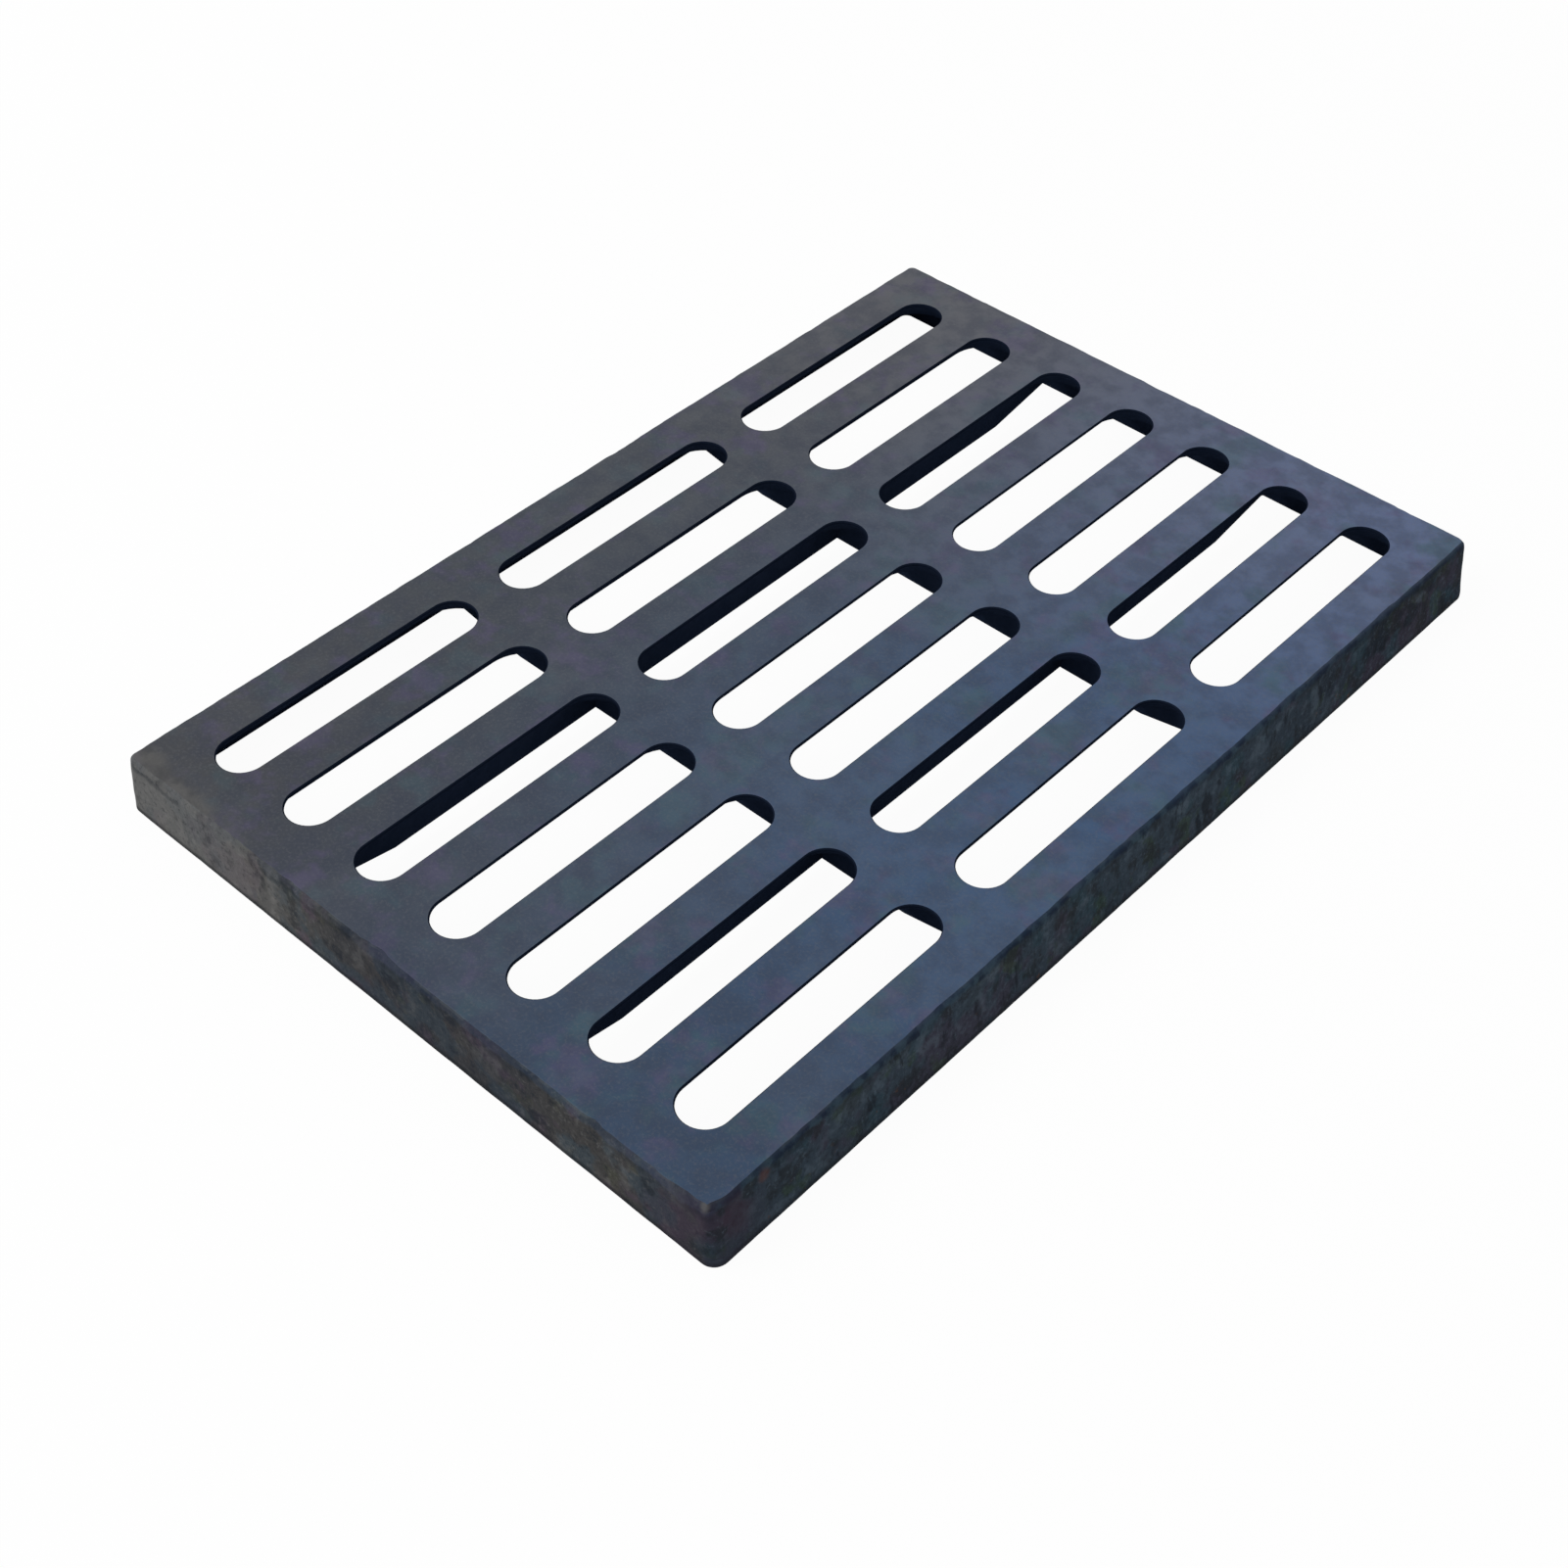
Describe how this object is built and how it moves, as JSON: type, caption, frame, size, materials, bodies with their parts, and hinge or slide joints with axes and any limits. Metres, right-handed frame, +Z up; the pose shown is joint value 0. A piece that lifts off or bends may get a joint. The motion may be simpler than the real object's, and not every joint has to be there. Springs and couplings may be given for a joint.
{
  "type": "sewer grate",
  "caption": "Rectangular cast iron road gully grate: flat deck with rows of long round-ended slots, ribs underneath and a closed outer wall.",
  "frame": {"origin": "middle of the seat, on the plane that the outer wall stands on", "axes": "+X across the slots, +Y along the slots and the long sides, +Z up through the deck"},
  "size_m": [0.41, 0.604, 0.036],
  "materials": {
    "iron": "as cast, dark coated"
  },
  "bodies": {
    "root": {"grate": "iron"}
  },
  "joints": []
}
